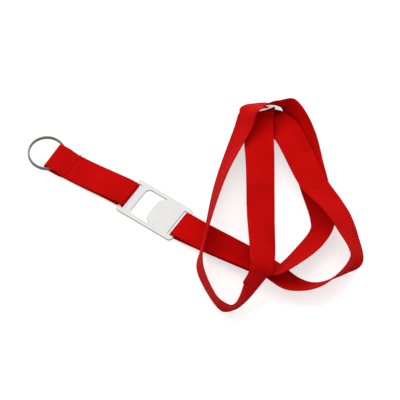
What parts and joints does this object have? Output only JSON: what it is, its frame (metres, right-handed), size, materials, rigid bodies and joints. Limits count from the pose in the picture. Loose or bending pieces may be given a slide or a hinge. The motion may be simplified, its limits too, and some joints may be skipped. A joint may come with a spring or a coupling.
{
  "type": "lanyard",
  "caption": "Webbing neck lanyard laid in loose loops, with a flat metal cap opener between the neck strap and a short strap that carries a split key ring.",
  "frame": {"origin": "centre of the opener plate's upper face, on the lifting tooth's metal", "axes": "+Z out of the plate's upper face, +X along the plate from the key ring towards the neck strap, +Y across the plate"},
  "size_m": [0.2349, 0.1585, 0.0335],
  "materials": {
    "webbing": "ribbed woven red webbing",
    "thread": "red sewing thread",
    "plate": "pale satin nickel",
    "ring": "polished steel wire"
  },
  "bodies": {
    "neck_loop_body": {"neck_strap": "webbing", "neck_strap_stitching": "thread"},
    "opener": {"opener_plate": "plate"},
    "short_strap_body": {"short_strap": "webbing", "short_strap_stitching": "thread"},
    "ring": {"key_ring": "ring"}
  },
  "joints": [
    {"name": "opener_swing", "type": "hinge", "parent": "neck_loop_body", "child": "opener", "pos_m": [0.0213, 0, -0.00075], "axis": [0, 1, 0], "range_deg": [-90, 90]},
    {"name": "short_strap_swing", "type": "hinge", "parent": "opener", "child": "short_strap_body", "pos_m": [-0.0213, 0, -0.00075], "axis": [0, 1, 0], "range_deg": [-90, 90]},
    {"name": "key_ring_turn", "type": "hinge", "parent": "short_strap_body", "child": "ring", "pos_m": [-0.0846, -0.0042, -0.00072], "axis": [0, 0, 1], "continuous": true}
  ]
}
